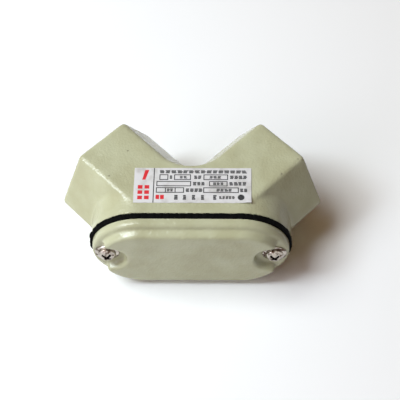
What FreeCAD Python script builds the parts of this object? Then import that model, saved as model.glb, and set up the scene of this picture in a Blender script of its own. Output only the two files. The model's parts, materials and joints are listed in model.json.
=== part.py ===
"""Right-angle threading box of cast aluminium: two hexagonal conduit hubs that
meet behind a flanged opening, closed by a gasket and a cover on two screws.

Millimetres, +Z up.  The box lies on the lower flats of its hubs, the cover
looks along -Y, and the origin is on the base under the middle of the whole box.
"""

import FreeCAD
import Part

import math
import os

Vec = FreeCAD.Vector

# One inch parallel pipe thread, bored to its major diameter, and the way behind it
THREAD_MAJOR = 33.249
THREAD_LENGTH = 19.0
THREAD_SHOULDER = 3.1245
MOUTH_CHAMFER = 1.3

# Hubs: two equal hexagonal sockets, each turned this far from +Y, lying on their flats
HUB_WALL = 4.3755
HUB_REACH = 52.5
HUB_ANGLE = 45.0
CROTCH_RADIUS = 17.0
CAST_ROUND = 1.4
HUB_END_CHAMFER = 0.6

# Flange, with round ends as high as the hubs, and the opening behind the cover
FLANGE_SETBACK = 1.5
FLANGE_STRAIGHT = 40.0
FLANGE_DEPTH = 13.2
OPENING_END_WALL = 12.0
OPENING_SIDE_WALL = 4.5
POCKET_DEPTH = 11.0

# Gasket, cut a little longer than the flange
GASKET_THICKNESS = 2.4
GASKET_OVERHANG = 0.3

# Cover: a flat rim, and a raised panel scalloped round the two screws
COVER_INSET = 0.2
COVER_END_INSET = 0.8
RIM_THICKNESS = 3.7
RIM_CHAMFER = 1.15
PANEL_INSET = 2.3
PANEL_HEIGHT = 3.55
PANEL_DRAFT = 15.0
PANEL_CHAMFER = 0.65
SCALLOP_RADIUS = 7.3
HORN_ROUND = 2.1
SPOT_FACE_MARGIN = 0.5
SPOT_FACE_DEPTH = 0.5
COVER_WALL = 3.4
SCALLOP_WALL = 2.6

# Cover screws with a pan head and a cross recess
SCREW_FROM_END = 7.0
SCREW_DIAMETER = 4.0
SCREW_LENGTH = 12.0
SCREW_RUNNING_GAP = 0.05
SCREW_CLEARANCE = 0.25
TAP_SPARE = 1.6
DRILL_POINT = 118.0
HEAD_DIAMETER = 7.2
HEAD_HEIGHT = 2.4
HEAD_SIDE = 1.3
HEAD_TOP_DIAMETER = 5.0
CROSS_SPAN = 4.2
CROSS_WIDTH = 0.9
CROSS_DEPTH = 1.5
TIP_CHAMFER = 0.5

# Flat washer under each screw head
WASHER_DIAMETER = 10.0
WASHER_THICKNESS = 0.8
WASHER_GAP = 0.15

# Rating label, a thin foil on the upper face
LABEL_LENGTH = 47.0
LABEL_WIDTH = 16.6
LABEL_THICKNESS = 0.12
LABEL_OFFSET = 0.95
LABEL_FROM_FLANGE = 4.7
LABEL_CORNER = 0.4

# Sizes that follow from those above
HUB_FLATS = THREAD_MAJOR + 2 * HUB_WALL
PASSAGE_BORE = THREAD_MAJOR - 2 * THREAD_SHOULDER
HALF_FLATS = HUB_FLATS / 2
HUB_CORNER = HUB_FLATS / math.sqrt(3)
HALF_SIDE = HUB_CORNER / 2
BEND_RADIUS = CROTCH_RADIUS + HALF_SIDE
COS_HUB = math.cos(math.radians(HUB_ANGLE))
SIN_HUB = math.sin(math.radians(HUB_ANGLE))
BODY_WIDTH = 2 * (HUB_REACH * SIN_HUB + HUB_CORNER * COS_HUB)
FLANGE_HALF_LENGTH = FLANGE_STRAIGHT / 2 + HALF_FLATS
OPENING_HALF_LENGTH = FLANGE_HALF_LENGTH - OPENING_END_WALL
OPENING_RADIUS = HALF_FLATS - OPENING_SIDE_WALL
COVER_RADIUS = HALF_FLATS - COVER_INSET
COVER_HALF_LENGTH = FLANGE_HALF_LENGTH - COVER_END_INSET
SCREW_X = FLANGE_HALF_LENGTH - SCREW_FROM_END
SCREW_RADIUS = SCREW_DIAMETER / 2
TAPPED_RADIUS = SCREW_RADIUS + SCREW_RUNNING_GAP
CLEAR_RADIUS = SCREW_RADIUS + SCREW_CLEARANCE
SEAT_STACK = GASKET_THICKNESS + RIM_THICKNESS - SPOT_FACE_DEPTH
SCREW_GRIP = SCREW_LENGTH - SEAT_STACK - WASHER_THICKNESS
PANEL_STACK = GASKET_THICKNESS + RIM_THICKNESS + PANEL_HEIGHT
HEAD_STACK = SEAT_STACK + WASHER_THICKNESS + HEAD_HEIGHT
DEPTH_IN_FRONT = max(PANEL_STACK, HEAD_STACK) - FLANGE_SETBACK
DEPTH_BEHIND = HUB_REACH * COS_HUB + HUB_CORNER * SIN_HUB

# Planes across the stack, from the crossing of the hub axes forward along -Y
CROSSING_Y = (DEPTH_IN_FRONT - DEPTH_BEHIND) / 2
FLANGE_Y = CROSSING_Y + FLANGE_SETBACK
GASKET_FRONT_Y = FLANGE_Y - GASKET_THICKNESS
RIM_FRONT_Y = GASKET_FRONT_Y - RIM_THICKNESS
SEAT_Y = FLANGE_Y - SEAT_STACK
HEAD_SEAT_Y = SEAT_Y - WASHER_THICKNESS
PANEL_FRONT_Y = RIM_FRONT_Y - PANEL_HEIGHT

SIDES = {"left": -1, "right": 1}
FORWARD = Vec(0, -1, 0)
BACK = Vec(0, 1, 0)
UP = Vec(0, 0, 1)

# Points closer than this lie in the same plane or on the same curve
SAME_PLACE = 1e-5


def stadium(half_length, radius, y):
    """A closed outline in the plane y: two straight sides and two round ends."""
    reach = half_length - radius
    top = HALF_FLATS + radius
    bottom = HALF_FLATS - radius
    edges = [
        Part.LineSegment(Vec(-reach, y, top), Vec(reach, y, top)),
        Part.Arc(Vec(reach, y, top), Vec(half_length, y, HALF_FLATS), Vec(reach, y, bottom)),
        Part.LineSegment(Vec(reach, y, bottom), Vec(-reach, y, bottom)),
        Part.Arc(Vec(-reach, y, bottom), Vec(-half_length, y, HALF_FLATS), Vec(-reach, y, top)),
    ]
    return Part.Wire([edge.toShape() for edge in edges])


def stadium_block(half_length, radius, y_back, depth):
    """A stadium pulled forward from the plane y_back by depth."""
    return Part.Face(stadium(half_length, radius, y_back)).extrude(FORWARD * depth)


def disc(radius, x, y_back, depth):
    """A round block on a screw's axis, pulled forward from y_back by depth."""
    return Part.makeCylinder(radius, depth, Vec(x, y_back, HALF_FLATS), FORWARD)


def hub_axis(side):
    """Unit vector from the crossing of the hub axes out through one hub."""
    return Vec(side * SIN_HUB, COS_HUB, 0)


def on_hub(side, distance):
    """The point on a hub's axis at a distance from the crossing."""
    return Vec(0, CROSSING_Y, HALF_FLATS) + hub_axis(side) * distance


def bend_start(radius):
    """Distance from the crossing at which a bend of that radius leaves the hub axis."""
    return radius * COS_HUB / SIN_HUB


def bend(face, radius):
    """A face square to the left hub's axis, swept round the bend to the right hub."""
    centre = Vec(0, CROSSING_Y + radius / SIN_HUB, 0)
    return face.revolve(centre, UP, 2 * HUB_ANGLE)


def rounded_outline(corners, radius):
    """A closed outline through corners, each rounded by an arc of that radius."""
    stops = []
    for index, corner in enumerate(corners):
        back = (corners[index - 1] - corner).normalize()
        ahead = (corners[(index + 1) % len(corners)] - corner).normalize()
        half_angle = back.getAngle(ahead) / 2
        middle = (back + ahead).normalize()
        trim = radius / math.tan(half_angle)
        deep = radius / math.sin(half_angle) - radius
        stops.append((corner + back * trim, corner + middle * deep, corner + ahead * trim))
    edges = []
    for index, (start, deepest, end) in enumerate(stops):
        following = stops[(index + 1) % len(stops)][0]
        edges.append(Part.Arc(start, deepest, end).toShape())
        edges.append(Part.LineSegment(end, following).toShape())
    return Part.Wire(edges)


def hexagon(side, distance):
    """The hub's section, a regular hexagon with cast corners, flats above and below."""
    across = Vec(-side * COS_HUB, SIN_HUB, 0)
    corners = []
    for index in range(6):
        turn = math.radians(60 * index)
        offset = across * math.cos(turn) + UP * math.sin(turn)
        corners.append(on_hub(side, distance) + offset * HUB_CORNER)
    return Part.Face(rounded_outline(corners, CAST_ROUND))


def hub(side):
    """One straight hub, from its chamfered end to well past the crossing."""
    block = hexagon(side, HUB_REACH).extrude(hub_axis(side) * -(HUB_REACH + 2 * HUB_CORNER))
    end_edges = []
    for edge in block.Edges:
        heights = [(v.Point - on_hub(side, HUB_REACH)).dot(hub_axis(side)) for v in edge.Vertexes]
        if min(heights) > -SAME_PLACE:
            end_edges.append(edge)
    return block.makeChamfer(HUB_END_CHAMFER, end_edges)


def casting():
    """The outside of the body: hubs, the bend between them and the flange's neck."""
    inner_bend = bend(hexagon(-1, bend_start(BEND_RADIUS)), BEND_RADIUS)
    hubs = hub(-1).fuse([hub(1), inner_bend]).removeSplitter()
    ahead = Part.makeBox(2 * BODY_WIDTH, BODY_WIDTH, 2 * HUB_FLATS)
    ahead.translate(Vec(-BODY_WIDTH, FLANGE_Y - BODY_WIDTH, -HALF_FLATS))
    neck = stadium_block(FLANGE_HALF_LENGTH, HALF_FLATS, FLANGE_Y + FLANGE_DEPTH, FLANGE_DEPTH)
    return hubs.cut(ahead).fuse(neck).removeSplitter()


def hub_bore(side):
    """The thread's bore with its mouth, and the narrower way on to the crossing."""
    inward = hub_axis(side) * -1
    passage_at = HUB_REACH - THREAD_LENGTH
    radius = THREAD_MAJOR / 2
    thread = Part.makeCylinder(radius, THREAD_LENGTH, on_hub(side, HUB_REACH), inward)
    mouth = Part.makeCone(radius + MOUTH_CHAMFER, radius, MOUTH_CHAMFER, on_hub(side, HUB_REACH), inward)
    passage = Part.makeCylinder(PASSAGE_BORE / 2, passage_at, on_hub(side, passage_at), inward)
    return thread.fuse([mouth, passage])


def tapped_hole(side):
    """A blind hole in the flange for a cover screw, with its drill point."""
    x = side * SCREW_X
    depth = SCREW_GRIP + TAP_SPARE
    bottom_y = FLANGE_Y + depth
    point = TAPPED_RADIUS / math.tan(math.radians(DRILL_POINT / 2))
    straight = disc(TAPPED_RADIUS, x, bottom_y, depth)
    cone = Part.makeCone(TAPPED_RADIUS, 0, point, Vec(x, bottom_y, HALF_FLATS), BACK)
    return straight.fuse(cone)


def body():
    """The whole casting, cored, bored and tapped."""
    pocket = stadium_block(
        OPENING_HALF_LENGTH, OPENING_RADIUS, FLANGE_Y + POCKET_DEPTH, POCKET_DEPTH
    )
    cores = [pocket]
    for side in SIDES.values():
        cores.append(hub_bore(side))
        cores.append(tapped_hole(side))
    return casting().cut(cores).removeSplitter()


def gasket():
    """The flat rubber ring between flange and cover."""
    sheet = stadium_block(
        FLANGE_HALF_LENGTH + GASKET_OVERHANG, HALF_FLATS, FLANGE_Y, GASKET_THICKNESS
    )
    cuts = [stadium_block(OPENING_HALF_LENGTH, OPENING_RADIUS, FLANGE_Y, GASKET_THICKNESS)]
    for side in SIDES.values():
        cuts.append(disc(CLEAR_RADIUS, side * SCREW_X, FLANGE_Y, GASKET_THICKNESS))
    return sheet.cut(cuts)


def front_edges(shape, y):
    """The edges of a shape that lie in the plane y."""
    return [e for e in shape.Edges if all(abs(v.Y - y) < SAME_PLACE for v in e.Vertexes)]


def panel_quarter(side, rise, inset, y):
    """Points of a quarter of the panel's outline in the plane y.

    side and rise are 1 or -1.  The round end, the horn beside the screw and the
    scallop are three arcs that touch: the horn's circle touches the end's circle
    from inside and the scallop's from outside.  Moving the whole outline in by
    inset keeps all three centres.
    """
    reach = COVER_HALF_LENGTH - COVER_RADIUS
    end_radius = COVER_RADIUS - PANEL_INSET - inset
    scallop_radius = SCALLOP_RADIUS + inset
    horn_radius = HORN_ROUND - inset
    from_end = end_radius - horn_radius
    from_screw = scallop_radius + horn_radius
    gap = SCREW_X - reach
    along = (gap**2 + from_end**2 - from_screw**2) / (2 * gap)

    def at(x, z):
        return Vec(side * x, y, HALF_FLATS + rise * z)

    end_centre = at(reach, 0)
    screw_centre = at(SCREW_X, 0)
    horn_centre = at(reach + along, math.sqrt(from_end**2 - along**2))
    start = at(reach, end_radius)
    outer = horn_centre + (horn_centre - end_centre).normalize() * horn_radius
    inner = horn_centre + (screw_centre - horn_centre).normalize() * horn_radius
    return {
        "start": start,
        "end_middle": half_way_round(end_centre, start, outer),
        "outer": outer,
        "tip": half_way_round(horn_centre, outer, inner),
        "inner": inner,
        "scallop_middle": at(SCREW_X - scallop_radius, 0),
    }


def half_way_round(centre, start, end):
    """The point half way along the shorter arc from start to end about centre."""
    spoke = (start + end) * 0.5 - centre
    return centre + spoke.normalize() * (start - centre).Length


def panel_outline(inset, y):
    """The whole outline of the raised panel in the plane y, moved in by inset."""
    edges = []
    for side in SIDES.values():
        upper = panel_quarter(side, 1, inset, y)
        lower = panel_quarter(side, -1, inset, y)
        for quarter in (upper, lower):
            edges.append(Part.Arc(quarter["start"], quarter["end_middle"], quarter["outer"]))
            edges.append(Part.Arc(quarter["outer"], quarter["tip"], quarter["inner"]))
        edges.append(Part.Arc(upper["inner"], upper["scallop_middle"], lower["inner"]))
    for rise in (1, -1):
        ends = [panel_quarter(side, rise, inset, y)["start"] for side in SIDES.values()]
        edges.append(Part.LineSegment(ends[0], ends[1]))
    return Part.Wire(Part.__sortEdges__([edge.toShape() for edge in edges]))


def panel():
    """The drafted raised panel with its chamfered front edge."""
    draft = PANEL_HEIGHT * math.tan(math.radians(PANEL_DRAFT))
    outlines = [panel_outline(0, RIM_FRONT_Y), panel_outline(draft, PANEL_FRONT_Y)]
    block = Part.makeLoft(outlines, True, True)
    return block.makeChamfer(PANEL_CHAMFER, front_edges(block, PANEL_FRONT_Y))


def cover():
    """The cover: rim, panel, recess behind the panel, spot faces and screw holes."""
    rim = stadium_block(COVER_HALF_LENGTH, COVER_RADIUS, GASKET_FRONT_Y, RIM_THICKNESS)
    rim = rim.makeChamfer(RIM_CHAMFER, front_edges(rim, RIM_FRONT_Y))
    recess_half_length = SCREW_X - SCALLOP_RADIUS - SCALLOP_WALL
    recess_radius = COVER_RADIUS - PANEL_INSET - COVER_WALL
    recess_depth = RIM_THICKNESS + PANEL_HEIGHT - COVER_WALL
    recess = stadium_block(recess_half_length, recess_radius, GASKET_FRONT_Y, recess_depth)
    cuts = [recess]
    for side in SIDES.values():
        x = side * SCREW_X
        cuts.append(disc(CLEAR_RADIUS, x, GASKET_FRONT_Y, RIM_THICKNESS))
        cuts.append(disc(WASHER_DIAMETER / 2 + SPOT_FACE_MARGIN, x, SEAT_Y, SPOT_FACE_DEPTH))
    return rim.fuse(panel()).cut(cuts).removeSplitter()


def cross_recess(x, face_y):
    """The cross in a screw head: two bars at right angles, turned by an eighth."""
    corner = Vec(-CROSS_SPAN / 2, 0, -CROSS_WIDTH / 2)
    bars = []
    for turn in (45, 135):
        bar = Part.makeBox(CROSS_SPAN, CROSS_DEPTH, CROSS_WIDTH, corner)
        bar.rotate(Vec(0, 0, 0), BACK, turn)
        bars.append(bar)
    cross = bars[0].fuse(bars[1])
    cross.translate(Vec(x, face_y, HALF_FLATS))
    return cross


def screw(side):
    """A pan head screw: a turned profile with a sloped head and a cross recess."""
    x = side * SCREW_X
    head_radius = HEAD_DIAMETER / 2
    top_y = HEAD_SEAT_Y - HEAD_HEIGHT
    tip_y = HEAD_SEAT_Y + SCREW_LENGTH

    def at(radius, y):
        return Vec(x + radius, y, HALF_FLATS)

    corners = [
        at(0, tip_y),
        at(SCREW_RADIUS - TIP_CHAMFER, tip_y),
        at(SCREW_RADIUS, tip_y - TIP_CHAMFER),
        at(SCREW_RADIUS, HEAD_SEAT_Y),
        at(head_radius, HEAD_SEAT_Y),
        at(head_radius, HEAD_SEAT_Y - HEAD_SIDE),
        at(HEAD_TOP_DIAMETER / 2, top_y),
        at(0, top_y),
        at(0, tip_y),
    ]
    turned = Part.Face(Part.makePolygon(corners)).revolve(at(0, top_y), BACK, 360)
    return turned.cut(cross_recess(x, top_y))


def flat_washer(side):
    """The flat washer that lies in the cover's spot face."""
    x = side * SCREW_X
    hole = disc(SCREW_RADIUS + WASHER_GAP, x, SEAT_Y, WASHER_THICKNESS)
    return disc(WASHER_DIAMETER / 2, x, SEAT_Y, WASHER_THICKNESS).cut(hole)


def label():
    """The rating label: a rectangle of foil with small round corners."""
    left = LABEL_OFFSET - LABEL_LENGTH / 2
    front = FLANGE_Y + LABEL_FROM_FLANGE
    corners = [
        Vec(left, front, HUB_FLATS),
        Vec(left + LABEL_LENGTH, front, HUB_FLATS),
        Vec(left + LABEL_LENGTH, front + LABEL_WIDTH, HUB_FLATS),
        Vec(left, front + LABEL_WIDTH, HUB_FLATS),
    ]
    return Part.Face(rounded_outline(corners, LABEL_CORNER)).extrude(UP * LABEL_THICKNESS)


def main():
    """Builds each piece and writes it as its own file."""
    pieces = {"body": body(), "gasket": gasket(), "cover": cover(), "label": label()}
    for name, side in SIDES.items():
        pieces["flat_washer_" + name] = flat_washer(side)
        pieces["screw_" + name] = screw(side)
    os.makedirs("parts", exist_ok=True)
    for name, shape in pieces.items():
        solid = shape.Solids[0]
        print(name, "valid", solid.isValid(), "solids", len(shape.Solids), "volume", round(solid.Volume, 1))
        solid.exportStep("parts/" + name + ".step")


main()
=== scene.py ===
"""Looks of a right-angle conduit box: an enamelled casting with two threaded hubs,
its screwed cover, rubber gasket, plated fasteners and printed foil label.

Sizes inside the classes are millimetres in the row frame, and MM turns them into
Blender's metres where a mesh, lamp or camera is made.
"""

import json
import logging
import math
from collections.abc import Callable
from dataclasses import dataclass, field
from enum import Enum

import bmesh
import bpy
import numpy as np
from mathutils import Matrix, Vector


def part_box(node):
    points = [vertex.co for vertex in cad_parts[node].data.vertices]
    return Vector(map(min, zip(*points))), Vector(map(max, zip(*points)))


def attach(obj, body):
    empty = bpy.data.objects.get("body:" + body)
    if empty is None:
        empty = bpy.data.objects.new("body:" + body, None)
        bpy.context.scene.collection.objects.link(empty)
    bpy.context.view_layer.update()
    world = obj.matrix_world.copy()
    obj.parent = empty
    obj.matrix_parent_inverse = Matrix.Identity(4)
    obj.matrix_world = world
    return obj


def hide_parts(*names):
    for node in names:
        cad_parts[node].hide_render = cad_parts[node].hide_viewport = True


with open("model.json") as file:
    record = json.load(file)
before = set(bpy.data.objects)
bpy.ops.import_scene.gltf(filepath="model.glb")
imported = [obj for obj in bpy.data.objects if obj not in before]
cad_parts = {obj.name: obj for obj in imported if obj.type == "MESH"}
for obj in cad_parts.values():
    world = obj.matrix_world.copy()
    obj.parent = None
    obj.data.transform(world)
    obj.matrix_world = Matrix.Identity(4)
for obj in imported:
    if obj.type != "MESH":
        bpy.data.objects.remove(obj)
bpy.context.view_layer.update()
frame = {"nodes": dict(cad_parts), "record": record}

MM = 0.001
TURN = 2 * math.pi
SIDES = {"left": -1.0, "right": 1.0}
log = logging.getLogger("conduit_box")


class Slot(Enum):
    """The record's material slots."""

    ENAMEL = "enamel"
    RUBBER = "rubber"
    STEEL = "plated_steel"
    FOIL = "foil"


def srgb(red: float, green: float, blue: float) -> tuple[float, float, float, float]:
    """Turns a screen colour into the linear colour that a shader takes.

    Args:
        red, green, blue: screen values from 0 to 255.

    Returns:
        Linear red, green and blue, and an alpha of 1.
    """
    values = np.array([red, green, blue]) / 255
    linear = np.where(values <= 0.04045, values / 12.92, ((values + 0.055) / 1.055) ** 2.4)
    return (*map(float, linear), 1.0)


def node_box(node: str) -> tuple[np.ndarray, np.ndarray]:
    """The lowest and highest corner of a CAD node at rest, in millimetres."""
    low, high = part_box(node)
    return np.array(low) / MM, np.array(high) / MM


def smooth_step(value: np.ndarray, start: float, end: float) -> np.ndarray:
    """Rises from 0 at start to 1 at end as 3 t squared minus 2 t cubed."""
    t = np.clip((value - start) / (end - start), 0, 1)
    return t * t * (3 - 2 * t)


@dataclass(frozen=True)
class Waves:
    """Unevenness of one scale: many plane waves of random direction, added up."""

    length: float
    seed: int
    count: int = 40
    spread: float = 0.45

    def at(self, points: np.ndarray) -> np.ndarray:
        """The sum of sines of each point's place along each wave, with an rms of 1.

        Args:
            points: places in millimetres, one row each.

        Returns:
            One value for each point.
        """
        random = np.random.default_rng(self.seed)
        ways = random.normal(size=(self.count, 3))
        ways /= np.linalg.norm(ways, axis=1, keepdims=True)
        lengths = self.length * random.uniform(1 - self.spread, 1 + self.spread, self.count)
        phases = random.uniform(0, TURN, self.count)
        angles = points @ (ways * (TURN / lengths)[:, None]).T + phases
        return np.sin(angles).sum(axis=1) * math.sqrt(2 / self.count)


def grid_faces(rows: int, columns: int, wrap_rows: bool, wrap_columns: bool) -> np.ndarray:
    """The quads of a grid of points that are stored row after row.

    Args:
        rows, columns: the grid's size.
        wrap_rows: joins the last row to the first.
        wrap_columns: joins the last column to the first.

    Returns:
        Four point numbers for each quad.
    """
    row = np.arange(rows if wrap_rows else rows - 1)[:, None]
    column = np.arange(columns if wrap_columns else columns - 1)[None, :]
    below, beside = (row + 1) % rows, (column + 1) % columns
    corners = [
        row * columns + column, below * columns + column,
        below * columns + beside, row * columns + beside,
    ]
    grid = (row.size, column.size)
    return np.stack([np.broadcast_to(corner, grid) for corner in corners], axis=-1).reshape(-1, 4)


@dataclass
class Piece:
    """One finished mesh, and what it says to the frame."""

    name: str
    body: str
    material: bpy.types.Material
    slot: Slot | None = None
    replaces: tuple[str, ...] = ()
    sharp: float = 40.0

    def make(self, points: np.ndarray, faces: list) -> bpy.types.Object:
        """Makes the mesh, turns its faces outwards and places it in the frame.

        Args:
            points: places in millimetres, one row each.
            faces: point numbers of each face.

        Returns:
            The new object, riding on its body.
        """
        mesh = bpy.data.meshes.new(self.name)
        mesh.from_pydata((np.asarray(points, float) * MM).tolist(), [], faces)
        work = bmesh.new()
        work.from_mesh(mesh)
        bmesh.ops.recalc_face_normals(work, faces=work.faces)
        work.to_mesh(mesh)
        work.free()
        return self.place(mesh)

    def place(self, mesh: bpy.types.Mesh) -> bpy.types.Object:
        """Dresses a mesh and hands it to the frame.

        Args:
            mesh: a mesh in metres, in the row frame.

        Returns:
            The new object, riding on its body.
        """
        mesh.name = self.name
        mesh.shade_smooth()
        mesh.set_sharp_from_angle(angle=math.radians(self.sharp))
        mesh.materials.clear()
        mesh.materials.append(self.material)
        made = bpy.data.objects.new(self.name, mesh)
        bpy.context.scene.collection.objects.link(made)
        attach(made, self.body)
        if self.replaces:
            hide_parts(*self.replaces)
        log.info("%s: %d faces on %s", self.name, len(mesh.polygons), self.body)
        return made


class Wiring:
    """A short way to place and join nodes in one node tree."""

    def __init__(self, tree: bpy.types.NodeTree) -> None:
        """Keeps the tree that the nodes go into."""
        self.tree = tree

    def node(self, kind: str, settings: dict | None = None, **values: object) -> bpy.types.Node:
        """Adds a node.

        Args:
            kind: the node's type without its ShaderNode prefix.
            settings: the node's own properties.
            values: input sockets, with underscores for spaces, each a value or a socket.

        Returns:
            The new node.
        """
        made = self.tree.nodes.new("ShaderNode" + kind)
        for name, value in (settings or {}).items():
            setattr(made, name, value)
        for name, value in values.items():
            self.feed(made.inputs[name.replace("_", " ")], value)
        return made

    def feed(self, socket: bpy.types.NodeSocket, value: object) -> None:
        """Links a socket to the input, or sets the input's own value."""
        if isinstance(value, bpy.types.NodeSocket):
            self.tree.links.new(value, socket)
        else:
            socket.default_value = value

    def math(self, operation: str, first: object, second: object = 0.0) -> bpy.types.NodeSocket:
        """Adds a Math node and returns its result."""
        made = self.node("Math", {"operation": operation})
        self.feed(made.inputs[0], first)
        self.feed(made.inputs[1], second)
        return made.outputs[0]

    def mix(self, share: object, first: object, second: object) -> bpy.types.NodeSocket:
        """Mixes two colours by share and returns the result."""
        made = self.node("Mix", {"data_type": "RGBA"})
        self.feed(made.inputs[0], share)
        self.feed(made.inputs[6], first)
        self.feed(made.inputs[7], second)
        return made.outputs[2]

    def band(self, value: object, start: float | object, end: float | object) -> bpy.types.NodeSocket:
        """Eases from 0 at start to 1 at end and returns the result."""
        smooth = {"interpolation_type": "SMOOTHSTEP"}
        made = self.node("MapRange", smooth, From_Min=start, From_Max=end)
        self.feed(made.inputs["Value"], value)
        return made.outputs[0]


class Effects:
    """Surface effects that several finishes share, each a node group built once."""

    def __init__(self) -> None:
        """Builds the groups."""
        self.peel = self._group("peel", {"Size": 1.0, "Depth": 0.02}, "Height", self._peel)
        specks = {"Spacing": 6.0, "Radius": 0.3, "Share": 0.2}
        self.specks = self._group("specks", specks, "Mask", self._specks)
        self.spot = self._group("spot", {"Radius": 1.0}, "Mask", self._spot, centred=True)
        self.mottle = self._group("mottle", {"Size": 10.0}, "Value", self._mottle)
        # The recess mask says where painted shade darkens a screw's cross recess.
        recess = {"Axis X": 34.0, "Axis Z": 21.0, "Front": -30.0, "Radius": 2.3}
        self.recess = self._group("recess", recess, "Mask", self._recess)

    @staticmethod
    def _group(
        name: str, sizes: dict, result: str, fill: Callable, centred: bool = False
    ) -> bpy.types.NodeTree:
        """Makes a group with a Vector input, its named sizes and one result.

        Args:
            name: the group's name.
            sizes: float inputs and their starting values, in millimetres.
            result: the name of the one output.
            fill: builds the inside from a Wiring and the input sockets.
            centred: adds a Centre input.

        Returns:
            The node group.
        """
        tree = bpy.data.node_groups.new(name, "ShaderNodeTree")
        tree.interface.new_socket(name="Vector", in_out="INPUT", socket_type="NodeSocketVector")
        if centred:
            tree.interface.new_socket(name="Centre", in_out="INPUT", socket_type="NodeSocketVector")
        for size, value in sizes.items():
            socket = tree.interface.new_socket(name=size, in_out="INPUT", socket_type="NodeSocketFloat")
            socket.default_value = value
        tree.interface.new_socket(name=result, in_out="OUTPUT", socket_type="NodeSocketFloat")
        inside = tree.nodes.new("NodeGroupInput")
        outside = tree.nodes.new("NodeGroupOutput")
        tree.links.new(fill(Wiring(tree), inside.outputs), outside.inputs[0])
        return tree

    @staticmethod
    def _noise(wiring: Wiring, vector: object, size: object, detail: float) -> bpy.types.NodeSocket:
        """Noise from -0.5 to 0.5 whose features are about size millimetres across."""
        scale = wiring.math("DIVIDE", 1 / MM, size)
        noise = wiring.node("TexNoise", Vector=vector, Scale=scale, Detail=detail, Roughness=0.5)
        return wiring.math("SUBTRACT", noise.outputs[0], 0.5)

    @classmethod
    def _peel(cls, wiring: Wiring, inputs: object) -> bpy.types.NodeSocket:
        """Height of sprayed paint: broad soft dimples with a finer ripple on them."""
        broad = cls._noise(wiring, inputs["Vector"], inputs["Size"], 1.0)
        fine = cls._noise(wiring, inputs["Vector"], wiring.math("MULTIPLY", inputs["Size"], 0.4), 1.0)
        both = wiring.math("ADD", broad, wiring.math("MULTIPLY", fine, 0.3))
        return wiring.math("MULTIPLY", both, inputs["Depth"])

    @staticmethod
    def _specks(wiring: Wiring, inputs: object) -> bpy.types.NodeSocket:
        """Scattered round specks: one in each cell of a Voronoi pattern, in a share of the cells."""
        scale = wiring.math("DIVIDE", 1 / MM, inputs["Spacing"])
        cells = wiring.node("TexVoronoi", Vector=inputs["Vector"], Scale=scale)
        away = wiring.math("MULTIPLY", cells.outputs["Distance"], inputs["Spacing"])
        edge = wiring.math("MULTIPLY", inputs["Radius"], 0.5)
        near = wiring.math("SUBTRACT", 1.0, wiring.band(away, edge, inputs["Radius"]))
        draw = wiring.node("SeparateColor", Color=cells.outputs["Color"])
        return wiring.math("MULTIPLY", near, wiring.math("LESS_THAN", draw.outputs[0], inputs["Share"]))

    @classmethod
    def _spot(cls, wiring: Wiring, inputs: object) -> bpy.types.NodeSocket:
        """One ragged spot about a centre given in millimetres."""
        place = wiring.node("VectorMath", {"operation": "SCALE"}, Vector=inputs["Vector"], Scale=1 / MM)
        gap = wiring.node("VectorMath", {"operation": "DISTANCE"})
        wiring.feed(gap.inputs[0], place.outputs[0])
        wiring.feed(gap.inputs[1], inputs["Centre"])
        ragged = wiring.math("MULTIPLY", cls._noise(wiring, inputs["Vector"], 0.5, 3.0), inputs["Radius"])
        away = wiring.math("ADD", gap.outputs["Value"], wiring.math("MULTIPLY", ragged, 1.6))
        edge = wiring.math("MULTIPLY", inputs["Radius"], 0.6)
        return wiring.math("SUBTRACT", 1.0, wiring.band(away, edge, inputs["Radius"]))

    @staticmethod
    def _recess(wiring: Wiring, inputs: object) -> bpy.types.NodeSocket:
        """What lies behind a domed front and close to either of two mirrored axes along Y."""
        place = wiring.node("VectorMath", {"operation": "SCALE"}, Vector=inputs["Vector"], Scale=1 / MM)
        split = wiring.node("SeparateXYZ", Vector=place.outputs[0]).outputs
        across = wiring.math("SUBTRACT", wiring.math("ABSOLUTE", split["X"]), inputs["Axis X"])
        rise = wiring.math("SUBTRACT", split["Z"], inputs["Axis Z"])
        across_squared = wiring.math("MULTIPLY", across, across)
        rise_squared = wiring.math("MULTIPLY", rise, rise)
        squares = wiring.math("ADD", across_squared, rise_squared)
        radius = inputs["Radius"]
        inside = wiring.math("LESS_THAN", squares, wiring.math("MULTIPLY", radius, radius))
        dome = wiring.math("ADD", inputs["Front"], wiring.math("MULTIPLY", squares, 0.06))
        deep = wiring.band(wiring.math("SUBTRACT", split["Y"], dome), 0.05, 0.35)
        return wiring.math("MULTIPLY", inside, deep)

    @classmethod
    def _mottle(cls, wiring: Wiring, inputs: object) -> bpy.types.NodeSocket:
        """Slow variation from 0 to 1."""
        return wiring.math("ADD", cls._noise(wiring, inputs["Vector"], inputs["Size"], 3.0), 0.5)


class Finish:
    """A material under way: one Principled shader and the effects that feed it."""

    def __init__(self, name: str, effects: Effects, **values: object) -> None:
        """Starts the material.

        Args:
            name: the material's name.
            effects: the shared node groups.
            values: the Principled shader's own values, with underscores for spaces.
        """
        self.effects = effects
        self.material = bpy.data.materials.new(name)
        self.material.use_nodes = True
        self.wiring = Wiring(self.material.node_tree)
        self.shader = self.material.node_tree.nodes["Principled BSDF"]
        for key, value in values.items():
            self.set(key, value)
        self.place = self.wiring.node("TexCoord").outputs["Object"]

    def set(self, key: str, value: object) -> None:
        """Sets or links one of the shader's sockets."""
        self.wiring.feed(self.shader.inputs[key.replace("_", " ")], value)

    def effect(self, tree: bpy.types.NodeTree, **values: object) -> bpy.types.NodeSocket:
        """Places a shared effect with this finish's own values and returns its result."""
        made = self.wiring.node("Group", {"node_tree": tree}, Vector=self.place, **values)
        return made.outputs[0]

    def raise_by(self, height: bpy.types.NodeSocket) -> None:
        """Feeds a height in millimetres to the shader's normal."""
        bump = self.wiring.node("Bump", Height=height, Distance=MM, Strength=1.0)
        self.set("Normal", bump.outputs[0])


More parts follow.
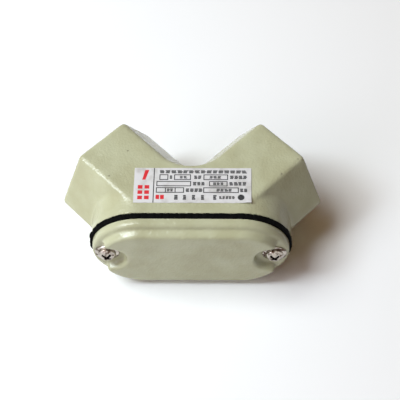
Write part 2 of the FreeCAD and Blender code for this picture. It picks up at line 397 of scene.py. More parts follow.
@dataclass(frozen=True)
class Enamel:
    """Grey-green semi-gloss enamel, sprayed on a rough casting."""

    name: str
    colour: tuple = srgb(178, 178, 147)
    shade: tuple = srgb(166, 164, 131)
    pit: tuple = srgb(92, 84, 62)
    worn: tuple = srgb(104, 78, 48)
    gloss_roughness: float = 0.22
    peel_size: float = 1.05
    peel_depth: float = 0.17
    pits: tuple = ()
    worn_spots: tuple = ()

    def build(self, effects: Effects) -> bpy.types.Material:
        """Builds the material.

        Args:
            effects: the shared node groups.

        Returns:
            The enamel.
        """
        finish = Finish(self.name, effects, IOR=1.5)
        wiring = finish.wiring
        mottle = finish.effect(effects.mottle, Size=14.0)
        colour = wiring.mix(wiring.band(mottle, 0.3, 0.7), self.colour, self.shade)
        marks = finish.effect(effects.specks, Spacing=9.0, Radius=0.28, Share=0.14)
        for centre, radius in self.pits:
            spot = finish.effect(effects.spot, Centre=centre, Radius=radius)
            marks = wiring.math("MAXIMUM", marks, spot)
        colour = wiring.mix(wiring.math("MULTIPLY", marks, 0.5), colour, self.pit)
        worn = 0.0
        for centre, radius in self.worn_spots:
            worn = wiring.math("MAXIMUM", worn, finish.effect(effects.spot, Centre=centre, Radius=radius))
        finish.set("Base Color", wiring.mix(worn, colour, self.worn))
        dull = wiring.math("MULTIPLY_ADD", mottle, 0.12)
        dull.node.inputs[2].default_value = self.gloss_roughness - 0.06
        finish.set("Roughness", wiring.math("MAXIMUM", dull, wiring.math("MULTIPLY", worn, 0.6)))
        peel = finish.effect(effects.peel, Size=self.peel_size, Depth=self.peel_depth)
        finish.raise_by(wiring.math("SUBTRACT", peel, wiring.math("MULTIPLY", marks, 0.12)))
        return finish.material


@dataclass(frozen=True)
class SheetRubber:
    """Dull black sheet rubber with cut edges and a little dust."""

    colour: tuple = srgb(5, 5, 5)
    dust: tuple = srgb(60, 57, 51)

    def build(self, effects: Effects) -> bpy.types.Material:
        """Builds the rubber and returns it."""
        finish = Finish("sheet_rubber", effects, Roughness=0.75, Specular_IOR_Level=0.04)
        wiring = finish.wiring
        specks = finish.effect(effects.specks, Spacing=1.6, Radius=0.16, Share=0.16)
        finish.set("Base Color", wiring.mix(wiring.math("MULTIPLY", specks, 0.5), self.colour, self.dust))
        peel = finish.effect(effects.peel, Size=0.55, Depth=0.05)
        finish.raise_by(peel)
        return finish.material


@dataclass(frozen=True)
class Plating:
    """Bright nickel plating with fine scratches and darker stains, and painted shade deep in a recess
    where one is given.
    """

    name: str = "nickel_plating"
    colour: tuple = srgb(190, 182, 172)
    stain: tuple = srgb(74, 50, 36)
    # Painted shade: the near-black colour laid deep in the cross recess.
    recess_shade: tuple = srgb(26, 19, 15)
    roughness: float = 0.22
    recess: tuple[float, float, float] | None = None

    def build(self, effects: Effects) -> bpy.types.Material:
        """Builds the plating and returns it, with painted shade darkening the recess where one is given.
        """
        finish = Finish(self.name, effects, Metallic=1.0)
        wiring = finish.wiring
        mottle = finish.effect(effects.mottle, Size=1.6)
        colour = wiring.mix(wiring.band(mottle, 0.46, 0.66), self.colour, self.stain)
        if self.recess:
            axis_x, front, axis_z = self.recess
            deep = finish.effect(effects.recess, Axis_X=axis_x, Axis_Z=axis_z, Front=front)
            # Painted shade: the colour goes dark deep in the cross recess, standing in for the shadow
            # there.
            colour = wiring.mix(deep, colour, self.recess_shade)
        finish.set("Base Color", colour)
        dull = wiring.math("MULTIPLY_ADD", mottle, 0.25)
        dull.node.inputs[2].default_value = self.roughness - 0.1
        finish.set("Roughness", dull)
        finish.raise_by(finish.effect(effects.peel, Size=0.5, Depth=0.006))
        return finish.material


@dataclass(frozen=True)
class Foil:
    """Silver-white satin foil."""

    colour: tuple = srgb(207, 205, 206)
    dirt: tuple = srgb(176, 172, 168)

    def build(self, effects: Effects) -> bpy.types.Material:
        """Builds the foil and returns it."""
        finish = Finish("silver_foil", effects, Roughness=0.38, Metallic=0.25, IOR=1.5)
        wiring = finish.wiring
        mottle = finish.effect(effects.mottle, Size=5.0)
        colour = wiring.mix(wiring.band(mottle, 0.45, 0.8), self.colour, self.dirt)
        specks = finish.effect(effects.specks, Spacing=4.0, Radius=0.12, Share=0.2)
        finish.set("Base Color", wiring.mix(specks, colour, self.dirt))
        finish.raise_by(finish.effect(effects.peel, Size=2.4, Depth=0.02))
        return finish.material


@dataclass(frozen=True)
class Ink:
    """Printing ink on the foil, a little worn."""

    name: str
    colour: tuple
    worn: tuple

    def build(self, effects: Effects) -> bpy.types.Material:
        """Builds the ink and returns it."""
        finish = Finish(self.name, effects, Roughness=0.45, IOR=1.5)
        wiring = finish.wiring
        mottle = finish.effect(effects.mottle, Size=0.8)
        finish.set("Base Color", wiring.mix(wiring.band(mottle, 0.4, 0.9), self.colour, self.worn))
        return finish.material


@dataclass
class SoftCasting:
    """A cast piece: the node's own form with its edges softened as by casting and paint."""

    node: str
    piece: str
    body: str
    machined_y: float
    voxel: float
    rounds: int
    uneven: float = 0.03
    held: tuple[float, float] = (0.3, 1.1)
    pull: float = 0.5
    regrown: float = 0.0
    regrown_reach: tuple[float, float] = (36.0, 52.0)

    def build(self, material: bpy.types.Material) -> bpy.types.Object:
        """Makes the softened piece.

        Args:
            material: the enamel.

        Returns:
            The piece, which stands for the node.
        """
        mesh = self._even_mesh()
        points = np.empty(len(mesh.vertices) * 3)
        mesh.vertices.foreach_get("co", points)
        points = points.reshape(-1, 3) / MM
        ends = np.empty(len(mesh.edges) * 2, np.int32)
        mesh.edges.foreach_get("vertices", ends)
        points = self._regrown(self._relaxed(points, ends.reshape(-1, 2)))
        mesh.vertices.foreach_set("co", (points * MM).ravel())
        mesh.update()
        self._roughen(mesh, points)
        piece = Piece(self.piece, self.body, material, Slot.ENAMEL, (self.node,), sharp=50.0)
        return piece.place(mesh)

    def _even_mesh(self) -> bpy.types.Mesh:
        """A merged copy of the node's mesh, rebuilt on an even grid of voxels."""
        copy = bpy.data.objects.new("even", frame["nodes"][self.node].data.copy())
        bpy.context.scene.collection.objects.link(copy)
        work = bmesh.new()
        work.from_mesh(copy.data)
        bmesh.ops.remove_doubles(work, verts=work.verts, dist=1e-7)
        work.to_mesh(copy.data)
        work.free()
        remesh = copy.modifiers.new("even", "REMESH")
        remesh.mode = "VOXEL"
        remesh.voxel_size = self.voxel * MM
        depsgraph = bpy.context.evaluated_depsgraph_get()
        mesh = bpy.data.meshes.new_from_object(copy.evaluated_get(depsgraph))
        bpy.data.objects.remove(copy)
        return mesh

    def _free(self, points: np.ndarray) -> np.ndarray:
        """0 on the machined face, easing to 1 a little way behind it."""
        return smooth_step(np.abs(points[:, 1] - self.machined_y), *self.held)

    def _relaxed(self, points: np.ndarray, ends: np.ndarray) -> np.ndarray:
        """Moves each point part of the way to the mean of its neighbours, several times.

        Args:
            points: places in millimetres.
            ends: the two point numbers of each edge.

        Returns:
            The new places.
        """
        first, second = ends.T
        count = len(points)
        neighbours = np.bincount(first, minlength=count) + np.bincount(second, minlength=count)
        free = (self._free(points) * self.pull)[:, None]
        for _ in range(self.rounds):
            total = np.stack([
                np.bincount(first, points[second, axis], count)
                + np.bincount(second, points[first, axis], count)
                for axis in range(3)
            ], axis=1)
            points = points + free * (total / neighbours[:, None] - points)
        return points

    def _regrown(self, points: np.ndarray) -> np.ndarray:
        """Moves the hub ends out along their axes by what their rounding took off.

        Args:
            points: places in millimetres.

        Returns:
            The new places.
        """
        side = np.where(points[:, 0] < 0, SIDES["left"], SIDES["right"])
        ways = np.stack([side, np.ones_like(side), np.zeros_like(side)], axis=1) / math.sqrt(2)
        reach = ((points - [0, self.machined_y, 0]) * ways).sum(axis=1)
        return points + self.regrown * smooth_step(reach, *self.regrown_reach)[:, None] * ways

    def _roughen(self, mesh: bpy.types.Mesh, points: np.ndarray) -> None:
        """Moves points along their normals by slow unevenness, inwards only."""
        normals = np.empty(len(points) * 3, np.float32)
        mesh.vertex_normals.foreach_get("vector", normals)
        slow = Waves(13.0, seed=5).at(points) + 0.5 * Waves(5.0, seed=6).at(points)
        sink = self.uneven * (slow - 2.2) * self._free(points)
        points = points + normals.reshape(-1, 3) * np.minimum(sink, 0)[:, None]
        mesh.vertices.foreach_set("co", (points * MM).ravel())
        mesh.update()


@dataclass
class HubThread:
    """The female pipe thread cut in one hub."""

    side: str
    major_radius: float = 16.6245
    minor_radius: float = 15.1455
    pitch: float = 2.309
    lead_in: float = 1.3
    depth: float = 19.0
    around: int = 128
    per_pitch: int = 14

    def build(self, material: bpy.types.Material) -> bpy.types.Object:
        """Makes the thread as a closed sleeve.

        The inner wall's radius is a rounded zigzag of depth over pitch minus turn,
        so its crests climb as a right-hand helix.  The outer wall lies just inside
        the casting.

        Args:
            material: the bare metal.

        Returns:
            The sleeve.
        """
        mount = next(m for m in frame["record"]["mounts"] if m["name"] == "hub_" + self.side)
        axis = np.array(mount["axis"])
        middle = np.array(mount["pos_m"]) / MM
        half = mount["dims"]["length_mm"] / 2
        mouth = middle + axis * (half + self.lead_in)
        across = np.cross([0.0, 0.0, 1.0], axis)
        rows = int(self.per_pitch * (self.depth - self.lead_in) / self.pitch)
        depth = np.linspace(self.lead_in, self.depth, rows)[:, None]
        angle = np.linspace(0, TURN, self.around, endpoint=False)[None, :]
        phase = (-depth / self.pitch - angle / TURN) % 1.0
        crest = smooth_step(1 - np.abs(2 * phase - 1), 0.12, 0.88)
        ramp = np.minimum((depth - self.lead_in) / 1.2, (self.depth - depth) / 1.2)
        tooth = (self.major_radius - self.minor_radius) * crest * np.clip(ramp, 0, 1)
        inner = self.major_radius - 0.02 - tooth
        outer = np.full_like(inner, self.major_radius + 0.25)
        radius = np.concatenate([inner, outer[::-1]])
        depth = np.concatenate([depth, depth[::-1]])
        outwards = np.cos(angle)[..., None] * across + np.sin(angle)[..., None] * [0, 0, 1]
        ring = radius[..., None] * outwards
        points = mouth - depth[..., None] * axis + ring
        faces = grid_faces(2 * rows, self.around, True, True)
        piece = Piece("hub_thread_" + self.side, "housing", material)
        return piece.make(points.reshape(-1, 3), faces.tolist())


@dataclass
class Gasket:
    """Sheet rubber cut by hand: ragged outside, with a nub left at one end."""

    edge_profile: tuple = ((0.0, 0.12), (0.1, 0.0), (0.37, 0.02), (0.63, 0.02), (0.9, 0.0), (1.0, 0.12))
    edge_rough: float = 0.11
    nub_height: float = 0.75
    nub_width: float = 0.8
    nub_place: tuple[float, float] = (-40.6, 27.0)
    inner_half_length: float = 29.0
    inner_radius: float = 16.5
    hole_radius: float = 2.25
    drill_turn: float = 0.05
    line_steps: int = 130
    arc_steps: int = 210

    def build(self, material: bpy.types.Material) -> bpy.types.Object:
        """Makes the ring and cuts its two screw holes.

        A rectangle is carried round a stadium.  Each outline point is its centre
        on the stadium's spine plus a radius along the outward direction, and waves
        move the outer wall's points in or out.

        Args:
            material: the rubber.

        Returns:
            The gasket.
        """
        low, high = node_box("gasket")
        middle_z = (low[2] + high[2]) / 2
        radius = (high[2] - low[2]) / 2
        reach = (high[0] - low[0]) / 2 - radius
        spine, out = self._loop()
        sections = []
        for share, inset in self.edge_profile:
            y = low[1] + share * (high[1] - low[1])
            ring = self._outline(spine, out, reach, radius - inset, y, middle_z)
            ragged = Waves(3.4, seed=11).at(ring) + 0.8 * Waves(1.1, seed=12).at(ring)
            nub = np.exp(-np.sum((ring[:, [0, 2]] - self.nub_place) ** 2, axis=1) / self.nub_width**2)
            bulge = math.sin(math.pi * (0.15 + 0.7 * share))
            push = self.edge_rough * (ragged - 1.2) + self.nub_height * nub * bulge
            sections.append(ring + push[:, None] * out)
        for share in (1.0, 0.0):
            y = low[1] + share * (high[1] - low[1])
            inner_reach = self.inner_half_length - self.inner_radius
            sections.append(self._outline(spine, out, inner_reach, self.inner_radius, y, middle_z))
        points = np.stack(sections).reshape(-1, 3)
        points[:, 2] = np.maximum(points[:, 2], 0.02)
        faces = grid_faces(len(sections), len(spine), True, True)
        piece = Piece("gasket_rubber", "housing", material, Slot.RUBBER, ("gasket",))
        return self._drilled(piece.make(points, faces.tolist()), (low + high) / 2)

    def _loop(self) -> tuple[np.ndarray, np.ndarray]:
        """The spine's share from -1 to 1 and the outward direction, once round."""
        line = np.linspace(-1, 1, self.line_steps, endpoint=False)
        arc = np.linspace(0, math.pi, self.arc_steps, endpoint=False)
        spine = np.concatenate([line, np.ones(self.arc_steps), -line, -np.ones(self.arc_steps)])
        there, back = np.zeros(self.line_steps), np.full(self.line_steps, math.pi)
        turn = np.concatenate([there, arc, back, arc + math.pi])
        out = np.stack([np.sin(turn), np.zeros_like(turn), np.cos(turn)], axis=1)
        return spine, out

    @staticmethod
    def _outline(
        spine: np.ndarray, out: np.ndarray, reach: float, radius: float, y: float, z: float
    ) -> np.ndarray:
        """One closed outline in the plane y."""
        centre = np.stack([spine * reach, np.full_like(spine, y), np.full_like(spine, z)], axis=1)
        return centre + out * radius

    def _drilled(self, ring: bpy.types.Object, middle: np.ndarray) -> bpy.types.Object:
        """Cuts the screw holes through the ring, with no drill edge on the ring's own edges."""
        upright = Vector((0, 1, 0)).to_track_quat("Z", "Y").to_matrix()
        way = Matrix.Rotation(self.drill_turn, 3, "Y") @ upright
        for side in SIDES:
            low, high = node_box("screw_" + side)
            work = bmesh.new()
            radius = self.hole_radius * MM
            bmesh.ops.create_cone(
                work, cap_ends=True, segments=48, radius1=radius, radius2=radius, depth=0.02
            )
            bmesh.ops.rotate(work, verts=work.verts, matrix=way)
            place = Vector(((low[0] + high[0]) / 2, middle[1], middle[2])) * MM
            bmesh.ops.translate(work, verts=work.verts, vec=place)
            mesh = bpy.data.meshes.new("drill")
            work.to_mesh(mesh)
            work.free()
            drill = bpy.data.objects.new("drill", mesh)
            bpy.context.scene.collection.objects.link(drill)
            cut = ring.modifiers.new("hole", "BOOLEAN")
            cut.operation, cut.object, cut.solver = "DIFFERENCE", drill, "EXACT"
            depsgraph = bpy.context.evaluated_depsgraph_get()
            mesh = bpy.data.meshes.new_from_object(ring.evaluated_get(depsgraph))
            ring.modifiers.clear()
            ring.data = mesh
            bpy.data.objects.remove(drill)
        return ring


def turned(stations: np.ndarray, centre: np.ndarray, around: int) -> tuple[np.ndarray, list]:
    """Carries a profile round an axis that runs along Y.

    Each point is the centre plus radius times (cos, 0, sin) of its angle, at the
    profile's own y.

    Args:
        stations: radius and y of each profile point, either one pair a row, or one
            pair for each angle too, as (rows, around, 2).
        centre: x and z of the axis.
        around: the number of points in each ring.

    Returns:
        The points row after row, and the faces between the rings.
    """
    if stations.ndim == 2:
        stations = np.repeat(stations[:, None, :], around, axis=1)
    angle = np.linspace(0, TURN, around, endpoint=False)[None, :]
    radius, y = stations[..., 0], stations[..., 1]
    x, z = centre[0] + radius * np.cos(angle), centre[1] + radius * np.sin(angle)
    points = np.stack([x, y + 0 * angle, z], axis=-1)
    return points.reshape(-1, 3), grid_faces(len(stations), around, False, True).tolist()


@dataclass
class PanScrew:
    """A cover screw: domed head with a cross recess, and a rolled thread."""

    side: str
    turn: float
    diameter: float = 4.0
    pitch: float = 0.7
    thread_depth: float = 0.38
    head_side: float = 0.9
    head_height: float = 2.4
    dome_power: float = 3.2
    cross_span: float = 5.2
    cross_width: float = 1.05
    cross_depth: float = 1.5
    around: int = 144
    per_pitch: int = 9

    def build(self, material: bpy.types.Material) -> bpy.types.Object:
        """Makes the screw as one closed skin.

        The head's top is a flattened dome from which the cross is sunk.  The
        cross's depth is a parabola along each arm, and the sides of each arm are
        eased.  The shank's radius is an eased zigzag of y over pitch minus turn.

        Args:
            material: the plating.

        Returns:
            The screw, which stands for its node.
        """
        node = "screw_" + self.side
        low, high = node_box(node)
        centre = np.array([(low[0] + high[0]) / 2, (low[2] + high[2]) / 2])
        head_radius = (high[0] - low[0]) / 2
        top, tip = low[1], high[1]
        seat = top + self.head_height
        angle = np.linspace(0, TURN, self.around, endpoint=False)[None, :]
        inner_rings, outer_rings = np.linspace(0.06, 2.4, 34), np.linspace(2.5, head_radius, 14)
        radius = np.concatenate([inner_rings, outer_rings])[:, None]
        dome = (seat - self.head_side - top) * (radius / head_radius) ** self.dome_power
        crown = np.stack(np.broadcast_arrays(radius, top + dome + self._cross(radius, angle)), axis=-1)
        rim = np.array([
            [head_radius, seat - self.head_side * 0.7], [head_radius, seat - 0.15],
            [head_radius - 0.12, seat], [self.diameter / 2, seat],
        ])
        rim = np.repeat(rim[:, None, :], self.around, axis=1)
        rows = int((tip - seat) / self.pitch * self.per_pitch)
        y = np.linspace(seat + 0.05, tip, rows)[:, None]
        phase = (y / self.pitch - angle / TURN) % 1.0
        tooth = self.thread_depth * smooth_step(np.abs(2 * phase - 1), 0.1, 0.9)
        taper = np.clip((y - tip + 0.7) / 0.7, 0, 1) * 0.5
        fade = np.clip((y - seat) / 1.4, 0, 1)
        shank = np.stack(np.broadcast_arrays(self.diameter / 2 - tooth * fade - taper, y), axis=-1)
        stations = np.concatenate([crown, rim, shank])
        points, faces = turned(stations, centre, self.around)
        last = len(points)
        poles = [[centre[0], points[0, 1], centre[1]], [centre[0], tip, centre[1]]]
        points = np.concatenate([points, poles])
        ring = np.arange(self.around)
        after = (ring + 1) % self.around
        end = last - self.around
        faces += np.stack([np.full_like(ring, last), ring, after], axis=1).tolist()
        faces += np.stack([np.full_like(ring, last + 1), end + after, end + ring], axis=1).tolist()
        piece = Piece("pan_screw_" + self.side, node, material, Slot.STEEL, (node,))
        return piece.make(points, faces)

    def _cross(self, radius: np.ndarray, angle: np.ndarray) -> np.ndarray:
        """How far the cross is sunk at each radius and angle."""
        quarter = TURN / 4
        local = (angle + self.turn + quarter / 2) % quarter - quarter / 2
        along, across = radius * np.cos(local), np.abs(radius * np.sin(local))
        width = self.cross_width * (1 - 0.25 * along / self.cross_span)
        arm = 1 - smooth_step(across - width / 2, -0.06, 0.1)
        floor = self.cross_depth * (1 - (2 * along / self.cross_span) ** 2)
        return arm * np.clip(floor, 0, None)


@dataclass
class FlatWasher:
    """The flat washer under one screw head."""

    side: str
    inner: float = 2.15
    soft: float = 0.2
    around: int = 96

    def build(self, material: bpy.types.Material) -> bpy.types.Object:
        """Makes a ring with a rolled front edge: eight profile points carried round.

        Args:
            material: the plating.

        Returns:
            The washer, which stands for its node.
        """
        node = "flat_washer_" + self.side
        low, high = node_box(node)
        centre, outer, front, back = (low + high)[[0, 2]] / 2, (high[0] - low[0]) / 2, low[1], high[1]
        inner, soft = self.inner, self.soft
        profile = np.array([
            [inner, front + soft], [inner + soft, front],
            [outer - 2 * soft, front], [outer - soft / 2, front + soft / 2],
            [outer, front + soft * 1.4], [outer, back - 0.05], [outer - 0.05, back], [inner, back],
        ])
        points, _ = turned(profile, centre, self.around)
        faces = grid_faces(len(profile), self.around, True, True)
        piece = Piece("washer_" + self.side, "washer_" + self.side, material, Slot.STEEL, (node,))
        return piece.make(points, faces.tolist())


@dataclass
class RatingLabel:
    """The foil label: silver sheet with one lifted corner, ruled boxes and plain bars."""

    lift: float = 0.55
    lift_reach: float = 6.5
    line: float = 0.38
    ink_height: float = 0.012
    columns: int = 94
    rows: int = 34
    divider: float = 7.95
    boxes: tuple = (
        (10.3, 11.0, 13.5, 13.3), (16.2, 11.0, 22.6, 13.3), (28.0, 11.0, 37.5, 13.3),
        (9.2, 8.0, 22.7, 10.1), (30.3, 8.0, 37.3, 10.1),
        (9.1, 4.9, 20.0, 7.1), (12.7, 4.9, 16.6, 7.1), (28.0, 4.9, 41.8, 7.1),
    )
    bars: tuple = (
        (10.1, 14.0, 45.3, 15.5, 2.36), (14.2, 11.3, 15.4, 13.0, 1.2), (24.0, 11.3, 27.2, 13.0, 1.6),
        (38.4, 11.3, 45.2, 13.0, 1.75), (23.6, 8.2, 29.4, 9.9, 1.7), (38.2, 8.2, 45.4, 9.9, 1.75),
        (20.8, 5.1, 27.4, 6.8, 1.7), (42.4, 5.1, 45.6, 6.8, 1.6), (18.2, 11.5, 21.6, 12.8, 1.6),
        (30.2, 11.5, 35.0, 12.8, 1.6), (31.6, 8.4, 35.6, 9.7, 1.5), (33.0, 5.3, 39.5, 6.7, 1.6),
        (13.3, 5.3, 16.2, 6.7, 1.3),
    )
    heading: tuple[float, ...] = (16.2, 19.7, 23.3, 26.8, 31.7)
    heading_bar: tuple[float, float, float] = (1.4, 1.7, 3.7)
    heading_end: tuple = (34.1, 1.8, 40.0, 3.2, 1.3)
    disc: tuple[float, float, float] = (42.9, 2.6, 1.35)
    disc_strips: int = 9
    gap: float = 0.04
    bar_rows: int = 3
    bar_share: tuple[float, float] = (0.64, 0.86)
    bar_shift: float = 0.12

    def build(self, foil: bpy.types.Material, black: bpy.types.Material, red: bpy.types.Material) -> list:
        """Makes the foil and its print.

        Args:
            foil: the sheet's material.
            black: the ink of the boxes and bars.
            red: the ink of the coloured fields.

        Returns:
            The foil, the black print and the red print.
        """
        self.low, self.high = node_box("label")
        self.size = self.high - self.low
        return [self._sheet(foil), self._black(black), self._red(red)]

    def _raised(self, across: np.ndarray, along: np.ndarray) -> np.ndarray:
        """Height of the foil over its seat: an eased lift towards the front right corner."""
        away = np.hypot(self.size[0] - across, 1.3 * along)
        return self.lift * (1 - smooth_step(away, 0, self.lift_reach)) ** 1.6

    def _sheet(self, material: bpy.types.Material) -> bpy.types.Object:
        """A closed sheet: a grid over the label above, the same grid below."""
        along, across = np.meshgrid(
            np.linspace(0, self.size[1], self.rows),
            np.linspace(0, self.size[0], self.columns),
            indexing="ij",
        )
        wave = 0.05 * np.sin(across * 1.7) * (1 - smooth_step(along, 0, 0.8))
        lift = self._raised(across, along)
        top = np.stack([self.low[0] + across, self.low[1] + along + wave, self.high[2] + lift], axis=-1)
        bottom = top - [0, 0, self.size[2] - 0.01]
        points = np.concatenate([top.reshape(-1, 3), bottom.reshape(-1, 3)])
        count = self.rows * self.columns
        upper = grid_faces(self.rows, self.columns, False, False)
        index = np.arange(count).reshape(self.rows, self.columns)
        edge = np.concatenate([index[0], index[1:, -1], index[-1, -2::-1], index[-2:0:-1, 0]])
        after = np.roll(edge, -1)
        walls = np.stack([edge, after, after + count, edge + count], axis=1)
        faces = upper.tolist() + (upper[:, ::-1] + count).tolist() + walls.tolist()
        return Piece("label_foil", "housing", material, Slot.FOIL, ("label",)).make(points, faces)

    def _slabs(self, shapes: np.ndarray) -> tuple[np.ndarray, list]:
        """Thin slabs of ink on the foil.

        Args:
            shapes: four corners of each slab, across and along the label, as (n, 4, 2).

        Returns:
            Points and faces of one mesh with all the slabs.
        """
        across, along = shapes[..., 0], shapes[..., 1]
        floor = self.high[2] + self._raised(across, along)
        lower = np.stack([self.low[0] + across, self.low[1] + along, floor], axis=-1)
        upper = lower + [0, 0, self.ink_height]
        points = np.concatenate([lower, upper], axis=1).reshape(-1, 3)
        ends = [[3, 2, 1, 0], [4, 5, 6, 7]]
        sides = [[0, 1, 5, 4], [1, 2, 6, 5], [2, 3, 7, 6], [3, 0, 4, 7]]
        cube = np.array(ends + sides)
        faces = (np.arange(len(shapes))[:, None, None] * 8 + cube).reshape(-1, 4)
        return points, faces.tolist()

    @staticmethod
    def _corners(rectangles: np.ndarray) -> np.ndarray:
        """The corners of rectangles given as left, front, right and back."""
        left, front, right, back = rectangles.T
        corners = [(left, front), (right, front), (right, back), (left, back)]
        return np.stack([np.stack(corner, 1) for corner in corners], axis=1)

    def _black(self, material: bpy.types.Material) -> bpy.types.Object:
        """The divider, ruled boxes and rows of short bars in place of words."""
        half = self.line / 2
        made = [(self.divider - half, 0.1, self.divider + half, self.size[1] - 0.1)]
        for left, front, right, back in self.boxes:
            made += [(left, edge - half, right, edge + half) for edge in (front, back)]
            made += [(edge - half, front - half, edge + half, back + half) for edge in (left, right)]
        random = np.random.default_rng(3)
        front, width, back = self.heading_bar
        heading = [(left, front, left + width, back, width) for left in self.heading]
        for left, front, right, back, pitch in (*self.bars, *heading, self.heading_end):
            starts = np.arange(left, right - 0.5 * pitch, pitch)
            step = (back - front) / self.bar_rows
            for row in range(self.bar_rows):
                width = pitch * random.uniform(*self.bar_share, len(starts))
                shift = pitch * random.uniform(0.0, self.bar_shift, len(starts))
                low, high = front + row * step + self.gap, front + (row + 1) * step - self.gap
                made += [
                    (start + move, low, start + move + wide, high)
                    for start, move, wide in zip(starts, shift, width)
                ]
        across, along, radius = self.disc
        edges = np.linspace(-radius, radius, self.disc_strips + 1)
        for low, high in zip(edges, edges[1:]):
            half = math.sqrt(radius**2 - ((low + high) / 2) ** 2)
            made.append((across - half, along + low, across + half, along + high))
        points, faces = self._slabs(self._corners(np.array(made)))
        return Piece("label_print_black", "housing", material, Slot.FOIL).make(points, faces)

    def _red(self, material: bpy.types.Material) -> bpy.types.Object:
        """A slanted field, two columns of blocks and a short bar."""
        slanted = np.array([[[3.2, 10.9], [4.5, 10.9], [5.9, 15.6], [4.3, 15.6]]])
        wide, high = 1.9, 1.7
        places = [(left, front) for left in (1.6, 4.3) for front in (1.6, 4.1, 6.6)]
        blocks = [(left, front, left + wide, front + high) for left, front in places]
        blocks += [(8.9, 1.7, 10.3, 3.7), (10.7, 1.7, 12.2, 3.7)]
        points, faces = self._slabs(np.concatenate([slanted, self._corners(np.array(blocks))]))
        return Piece("label_print_red", "housing", material, Slot.FOIL).make(points, faces)


@dataclass(frozen=True)
class Lamp:
    """A soft square lamp that looks at the object from far enough to light it evenly."""

    name: str
    towards: tuple[float, float, float]
    size: float
    level: float
    colour: tuple[float, float, float]
    distance: float = 0.9

    def build(self) -> None:
        """Makes the lamp; a level of 1 lights a white surface that faces it to white."""
        direction = Vector(self.towards).normalized()
        data = bpy.data.lights.new(self.name, "AREA")
        data.size = self.size
        data.energy = math.pi**2 * self.level * self.distance**2
        data.color = self.colour
        lamp = bpy.data.objects.new(self.name, data)
        lamp.location = direction * self.distance
        lamp.rotation_euler = direction.to_track_quat("Z", "Y").to_euler()
        bpy.context.scene.collection.objects.link(lamp)


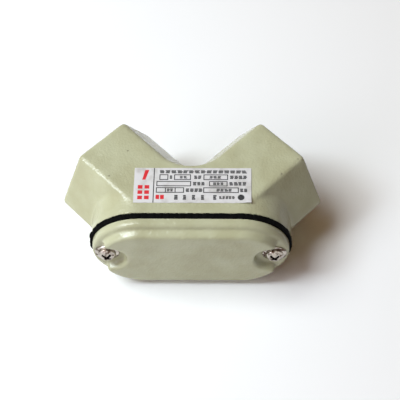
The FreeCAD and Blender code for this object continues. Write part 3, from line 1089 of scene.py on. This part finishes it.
@dataclass
class Studio:
    """A pale table in a white room, and the camera at the photograph's place."""

    eye: tuple[float, float, float] = (17.274, -259.087, 426.244)
    turn: tuple[float, float, float] = (32.3924, 1.2894, 1.0726)
    lens: float = 103.297
    sensor: float = 36.0
    table_size: float = 4.0
    table_colour: tuple = srgb(248, 248, 250)
    left_sky: tuple = (0.26, 0.17, 0.07, 1.0)
    right_sky: tuple = (0.0, 0.0, 0.0, 1.0)
    lamps: tuple[Lamp, ...] = field(default_factory=lambda: (
        Lamp("key_softbox", (-0.5, 0.0, 0.87), 0.5, 0.86, (0.9, 0.98, 1.0)),
        Lamp("edge_softbox", (-0.63, -0.13, 0.73), 0.22, 0.31, (0.78, 0.9, 1.0)),
        Lamp("left_fill", (-0.7, -0.55, 0.5), 0.5, 0.25, (0.84, 0.84, 1.0)),
        Lamp("front_fill", (-0.3, -0.7, 0.65), 0.5, 0.04, (1.0, 0.82, 0.78)),
        Lamp("right_bounce", (0.6, 0.2, 0.77), 0.5, 0.03, (1.0, 0.3, 0.05)),
    ))

    def build(self) -> None:
        """Makes the table, the room's light, the lamps and the camera."""
        self._table()
        self._room()
        for lamp in self.lamps:
            lamp.build()
        self._camera()
        bpy.context.scene.view_settings.view_transform = "Standard"

    def _table(self) -> None:
        """A flat matt sheet under the object."""
        half = self.table_size / 2
        mesh = bpy.data.meshes.new("table")
        corners = [(-half, -half, 0), (half, -half, 0), (half, half, 0), (-half, half, 0)]
        mesh.from_pydata(corners, [], [(0, 1, 2, 3)])
        material = bpy.data.materials.new("table_paper")
        material.use_nodes = True
        shader = material.node_tree.nodes["Principled BSDF"]
        shader.inputs["Base Color"].default_value = self.table_colour
        shader.inputs["Roughness"].default_value = 0.85
        shader.inputs["Specular IOR Level"].default_value = 0.2
        mesh.materials.append(material)
        table = bpy.data.objects.new("table", mesh)
        bpy.context.scene.collection.objects.link(table)

    def _room(self) -> None:
        """Soft light from all round, stronger from the left, with a white room in sight."""
        world = bpy.data.worlds.new("room")
        bpy.context.scene.world = world
        world.use_nodes = True
        world.node_tree.nodes.clear()
        wiring = Wiring(world.node_tree)
        direction = wiring.node("TexCoord").outputs["Generated"]
        side = wiring.node("SeparateXYZ", Vector=direction).outputs["X"]
        colour = wiring.mix(wiring.band(side, -0.8, 0.8), self.left_sky, self.right_sky)
        light = wiring.node("Background", Color=colour)
        seen = wiring.node("Background", Color=(1.0, 1.0, 1.0, 1.0))
        path = wiring.node("LightPath").outputs
        direct = wiring.math("MAXIMUM", path["Is Camera Ray"], path["Is Glossy Ray"])
        direct = wiring.math("MAXIMUM", direct, path["Is Transmission Ray"])
        both = wiring.node("MixShader", Fac=direct)
        wiring.feed(both.inputs[1], light.outputs[0])
        wiring.feed(both.inputs[2], seen.outputs[0])
        output = wiring.node("OutputWorld")
        wiring.feed(output.inputs["Surface"], both.outputs[0])

    def _camera(self) -> None:
        """The camera, placed and turned as the photograph's perspective says."""
        data = bpy.data.cameras.new("photo_camera")
        data.lens, data.sensor_width = self.lens, self.sensor
        data.clip_start, data.clip_end = 0.01, 20.0
        camera = bpy.data.objects.new("photo_camera", data)
        camera.location = Vector(self.eye) * MM
        camera.rotation_euler = [math.radians(angle) for angle in self.turn]
        bpy.context.scene.collection.objects.link(camera)
        bpy.context.scene.camera = camera


def main() -> None:
    """Builds every piece and the studio."""
    logging.basicConfig(level=logging.INFO, format="%(name)s: %(message)s")
    effects = Effects()
    flange_y = node_box("body")[0][1]
    cover_back_y = node_box("cover")[1][1]
    casting_enamel = Enamel(
        "casting_enamel",
        pits=(
            ((-25.8, 8.3, 42.0), 0.5), ((-32.8, -4.0, 42.0), 0.5),
            ((36.8, -2.7, 42.0), 0.55), ((43.4, 4.6, 41.6), 0.4),
        ),
        worn_spots=(((45.6, 4.2, 41.4), 0.7), ((46.6, 3.2, 40.6), 0.6)),
    ).build(effects)
    cover_enamel = Enamel("cover_enamel", peel_depth=0.13).build(effects)
    casting = SoftCasting("body", "casting", "housing", flange_y, voxel=0.62, rounds=8, regrown=0.4)
    casting.build(casting_enamel)
    cover = SoftCasting(
        "cover", "cover_plate", "cover", cover_back_y, voxel=0.36, rounds=12, held=(0.2, 0.7)
    )
    cover.build(cover_enamel)
    Gasket().build(SheetRubber().build(effects))
    bare_metal = Plating("bare_aluminium", srgb(160, 160, 158), srgb(128, 125, 118), roughness=0.36)
    bare = bare_metal.build(effects)
    plating = Plating().build(effects)
    # The screw plating gets painted shade in its cross recess, placed from the right screw's box.
    low, high = node_box("screw_right")
    screw_recess = ((low[0] + high[0]) / 2, low[1], (low[2] + high[2]) / 2)
    screw_plating = Plating("screw_plating", recess=screw_recess).build(effects)
    for side in SIDES:
        HubThread(side).build(bare)
        FlatWasher(side).build(plating)
    PanScrew("left", turn=0.72).build(screw_plating)
    PanScrew("right", turn=0.84).build(screw_plating)
    RatingLabel().build(
        Foil().build(effects),
        Ink("black_ink", srgb(12, 12, 14), srgb(44, 44, 46)).build(effects),
        Ink("red_ink", srgb(198, 8, 26), srgb(208, 52, 64)).build(effects),
    )
    Studio().build()


if __name__ == "__main__":
    main()
